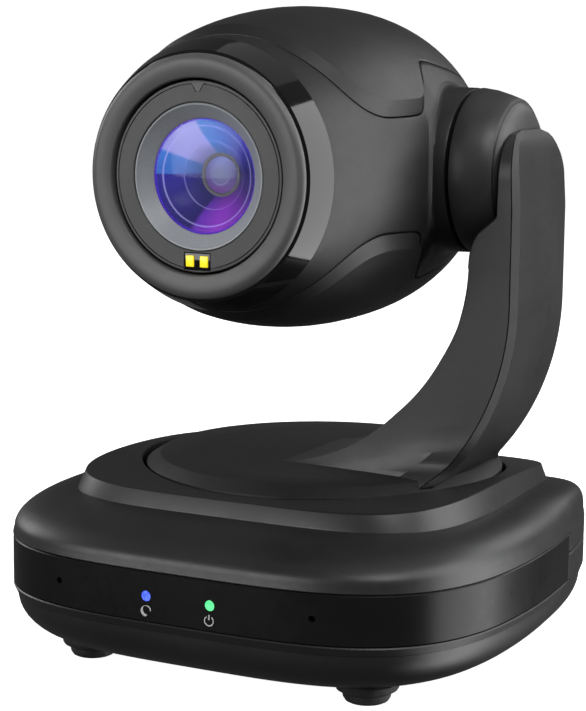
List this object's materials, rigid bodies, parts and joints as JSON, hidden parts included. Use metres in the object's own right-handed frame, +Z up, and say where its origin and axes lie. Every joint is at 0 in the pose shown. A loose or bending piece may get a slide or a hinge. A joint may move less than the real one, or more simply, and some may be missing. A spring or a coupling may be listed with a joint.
{
  "type": "ptz camera",
  "caption": "Desk pan-tilt-zoom camera: barrel-shaped head hung from one curved side arm on a turntable, over a squarish rounded base with a glossy front band.",
  "frame": {"origin": "on the table under the centre of the base", "axes": "+Z up, the lens looks along -Y at rest, +X towards the side that carries the arm"},
  "size_m": [0.1298, 0.1236, 0.1569],
  "materials": {
    "charcoal_plastic": "fine satin grain",
    "head_plastic": "fine satin grain",
    "arm_plastic": "smooth satin",
    "gloss_black": "polished",
    "ring_plastic": "fine satin grain",
    "face_plastic": "satin",
    "trim_metal": "satin anodised",
    "lens_coating": "coated and polished",
    "optics": "polished",
    "barrel_black": "matt",
    "steel": "zinc plated",
    "brass": "turned",
    "foot_rubber": "matt",
    "board_green": "solder mask",
    "component_black": "moulded epoxy",
    "socket_metal": "plated",
    "gear_white": "moulded",
    "bush_tan": "moulded",
    "blue_light": "clear tinted",
    "green_light": "clear tinted",
    "amber_light": "clear tinted"
  },
  "bodies": {
    "base": {"lower_shell": "charcoal_plastic", "upper_shell": "charcoal_plastic", "front_fascia": "gloss_black", "base_plate": "steel", "tripod_insert": "brass", "rubber_feet": "foot_rubber", "base_screws": "steel", "main_board": "board_green", "board_chips": "component_black", "rear_panel": "component_black", "power_jack": "component_black", "usb_socket": "socket_metal", "control_socket": "component_black", "indicator_board": "board_green", "standby_light_pipe": "blue_light", "power_light_pipe": "green_light", "microphones": "socket_metal", "remote_receiver": "component_black", "drive_bracket": "steel", "bracket_screws": "steel", "pan_bush": "bush_tan", "thrust_ring": "gear_white", "pan_motor": "steel"},
    "pan_pinion": {"pan_pinion": "brass"},
    "pan": {"turntable": "charcoal_plastic", "spindle": "steel", "pan_gear": "gear_white", "spindle_clip": "steel", "arm_shell": "arm_plastic", "arm_cover": "arm_plastic", "hub_cap": "arm_plastic", "arm_frame": "steel", "arm_screws": "steel", "trunnion_shaft": "steel", "trunnion_clip": "steel", "tilt_gear": "gear_white"},
    "head": {"middle_shell": "head_plastic", "top_shell": "head_plastic", "bottom_shell": "head_plastic", "rear_shell": "head_plastic", "bezel_ring": "gloss_black", "front_ring": "ring_plastic", "face_plate": "face_plastic", "status_window": "amber_light", "lens_trim": "trim_metal", "front_glass": "lens_coating", "lens_barrel": "barrel_black", "iris_stop": "barrel_black", "image_sensor": "gloss_black", "sensor_board": "board_green", "lens_motors": "steel", "head_chassis": "steel", "tilt_bush": "bush_tan", "tilt_motor": "steel", "shell_screws": "steel"},
    "tilt_pinion": {"tilt_pinion": "brass"},
    "zoom_group": {"zoom_group": "optics"},
    "focus_group": {"focus_group": "optics"}
  },
  "joints": [
    {"name": "pan", "type": "hinge", "parent": "base", "child": "pan", "pos_m": [0, 0.0113, 0.03], "axis": [0, 0, 1], "range_deg": [-170, 170]},
    {"name": "tilt", "type": "hinge", "parent": "pan", "child": "head", "pos_m": [0.03, 0.0113, 0.1182], "axis": [-1, 0, 0], "range_deg": [-30, 90]},
    {"name": "pan_pinion_spin", "type": "hinge", "parent": "base", "child": "pan_pinion", "pos_m": [-0.02885, 0.0113, 0.0195], "axis": [0, 0, 1], "range_deg": [-512, 512]},
    {"name": "tilt_pinion_spin", "type": "hinge", "parent": "head", "child": "tilt_pinion", "pos_m": [0.03, -0.00525, 0.1182], "axis": [-1, 0, 0], "range_deg": [-82, 242]},
    {"name": "zoom", "type": "slide", "parent": "head", "child": "zoom_group", "axis": [0, -1, 0], "range_m": [-0.01, 0.01]},
    {"name": "focus", "type": "slide", "parent": "head", "child": "focus_group", "axis": [0, -1, 0], "range_m": [-0.005, 0.005]}
  ],
  "couplings": [
    {"joint": "pan_pinion_spin", "follows": "pan", "ratio": -3},
    {"joint": "tilt_pinion_spin", "follows": "tilt", "ratio": 2.6667}
  ]
}
